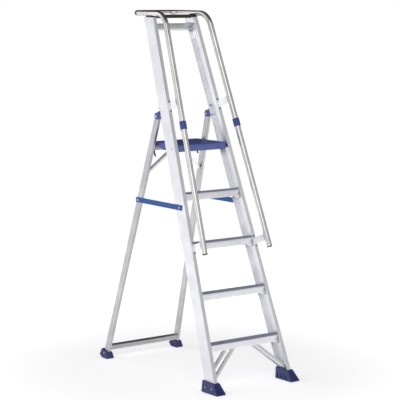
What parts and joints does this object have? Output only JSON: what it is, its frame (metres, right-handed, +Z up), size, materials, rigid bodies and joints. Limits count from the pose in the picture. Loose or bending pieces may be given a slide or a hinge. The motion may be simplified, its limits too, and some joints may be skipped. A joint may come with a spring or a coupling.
{
  "type": "step ladder",
  "caption": "Folding platform step ladder with flat treads, a guard rail loop, side handrails, strap-limited rear legs and plastic feet.",
  "frame": {"origin": "centre of the bounding box at floor level", "axes": "+Z up, +X to the user's right when climbing, -Y towards the treads' front"},
  "size_m": [0.532, 1.04, 1.854],
  "materials": {
    "aluminium": "satin mill finish",
    "bright_tube": "bright drawn tube",
    "rear_frame_metal": "satin",
    "hardware": "zinc plated",
    "black_plastic": "moulded",
    "foot_plastic": "moulded",
    "blue_plastic": "moulded",
    "tread_grip": "ribbed",
    "webbing": "woven"
  },
  "bodies": {
    "front_frame": {"stile_left": "aluminium", "stile_right": "aluminium", "tread_1": "aluminium", "tread_2": "aluminium", "tread_3": "aluminium", "tread_4": "aluminium", "tread_insert_1": "tread_grip", "tread_insert_2": "tread_grip", "tread_insert_3": "tread_grip", "tread_insert_4": "tread_grip", "tread_cleats": "aluminium", "brace_front_left": "aluminium", "brace_front_right": "aluminium", "brace_rear_left": "aluminium", "brace_rear_right": "aluminium", "foot_front_left": "foot_plastic", "foot_front_right": "foot_plastic", "foot_front_screws": "hardware", "top_crossbar": "aluminium", "crossbar_brackets": "aluminium", "rail_mount_left": "aluminium", "rail_mount_right": "aluminium", "rail_mount_rivets": "hardware", "top_saddle": "black_plastic", "guard_rail": "bright_tube", "handrail_left": "bright_tube", "handrail_right": "bright_tube", "sleeve_left": "blue_plastic", "sleeve_right": "blue_plastic", "end_cap_left": "black_plastic", "end_cap_right": "black_plastic", "rail_bracket_upper_left": "aluminium", "rail_bracket_upper_right": "aluminium", "rail_bracket_lower_left": "aluminium", "rail_bracket_lower_right": "aluminium", "rail_bracket_bolts": "hardware", "hinge_bracket_left": "blue_plastic", "hinge_bracket_right": "blue_plastic", "hinge_bracket_rivets": "hardware", "hinge_pin_left": "hardware", "hinge_pin_right": "hardware", "platform_pin_left": "hardware", "platform_pin_right": "hardware", "platform_bush_left": "black_plastic", "platform_bush_right": "black_plastic", "strap_left": "webbing", "strap_right": "webbing", "strap_rivets_front": "hardware"},
    "rear_frame": {"rear_leg_left": "rear_frame_metal", "rear_leg_right": "rear_frame_metal", "rear_crossbar_lower": "rear_frame_metal", "rear_crossbar_upper": "rear_frame_metal", "knee_brace_left": "rear_frame_metal", "knee_brace_right": "rear_frame_metal", "foot_rear_left": "foot_plastic", "foot_rear_right": "foot_plastic", "foot_rear_screws": "hardware", "strap_rivets_rear": "hardware"},
    "platform": {"platform_deck": "blue_plastic", "platform_catches": "black_plastic"}
  },
  "joints": [
    {"name": "rear_fold", "type": "hinge", "parent": "front_frame", "child": "rear_frame", "pos_m": [0, 0.11469, 1.32], "axis": [-1, 0, 0], "range_deg": [0, 35.4], "deforming": ["strap_left", "strap_right"]},
    {"name": "platform_fold", "type": "hinge", "parent": "front_frame", "child": "platform", "pos_m": [0, -0.03294, 1.165], "axis": [1, 0, 0], "range_deg": [0, 52]}
  ],
  "couplings": [
    {"joint": "platform_fold", "follows": "rear_fold", "ratio": 1.4689}
  ]
}
